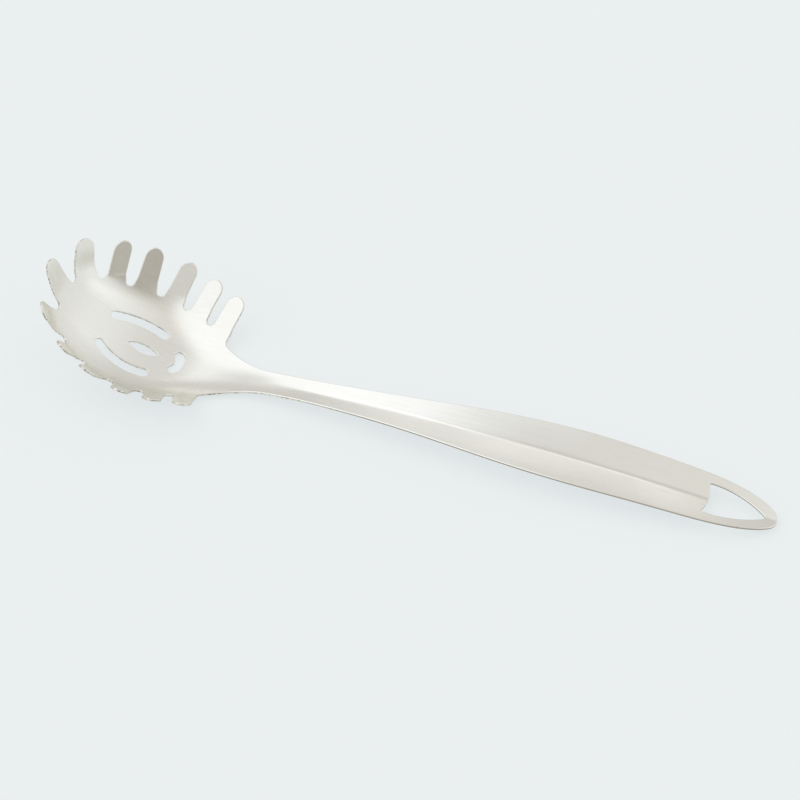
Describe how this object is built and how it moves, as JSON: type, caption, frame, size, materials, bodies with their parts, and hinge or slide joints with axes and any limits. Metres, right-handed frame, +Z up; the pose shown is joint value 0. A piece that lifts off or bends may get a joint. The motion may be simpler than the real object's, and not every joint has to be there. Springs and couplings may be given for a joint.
{
  "type": "pasta server",
  "caption": "One-piece stainless steel pasta server: a deep toothed bowl with draining slots on a long arched handle with a hanging hole.",
  "frame": {"origin": "middle of the small flat spot under the bowl on which the server rests", "axes": "+X along the handle to its hanging end, +Y across the bowl, +Z up out of the bowl"},
  "size_m": [0.3303, 0.0828, 0.0466],
  "materials": {
    "steel": "satin stainless steel, finely brushed, with cut edges left as blanked"
  },
  "bodies": {
    "root": {"server": "steel"}
  },
  "joints": []
}
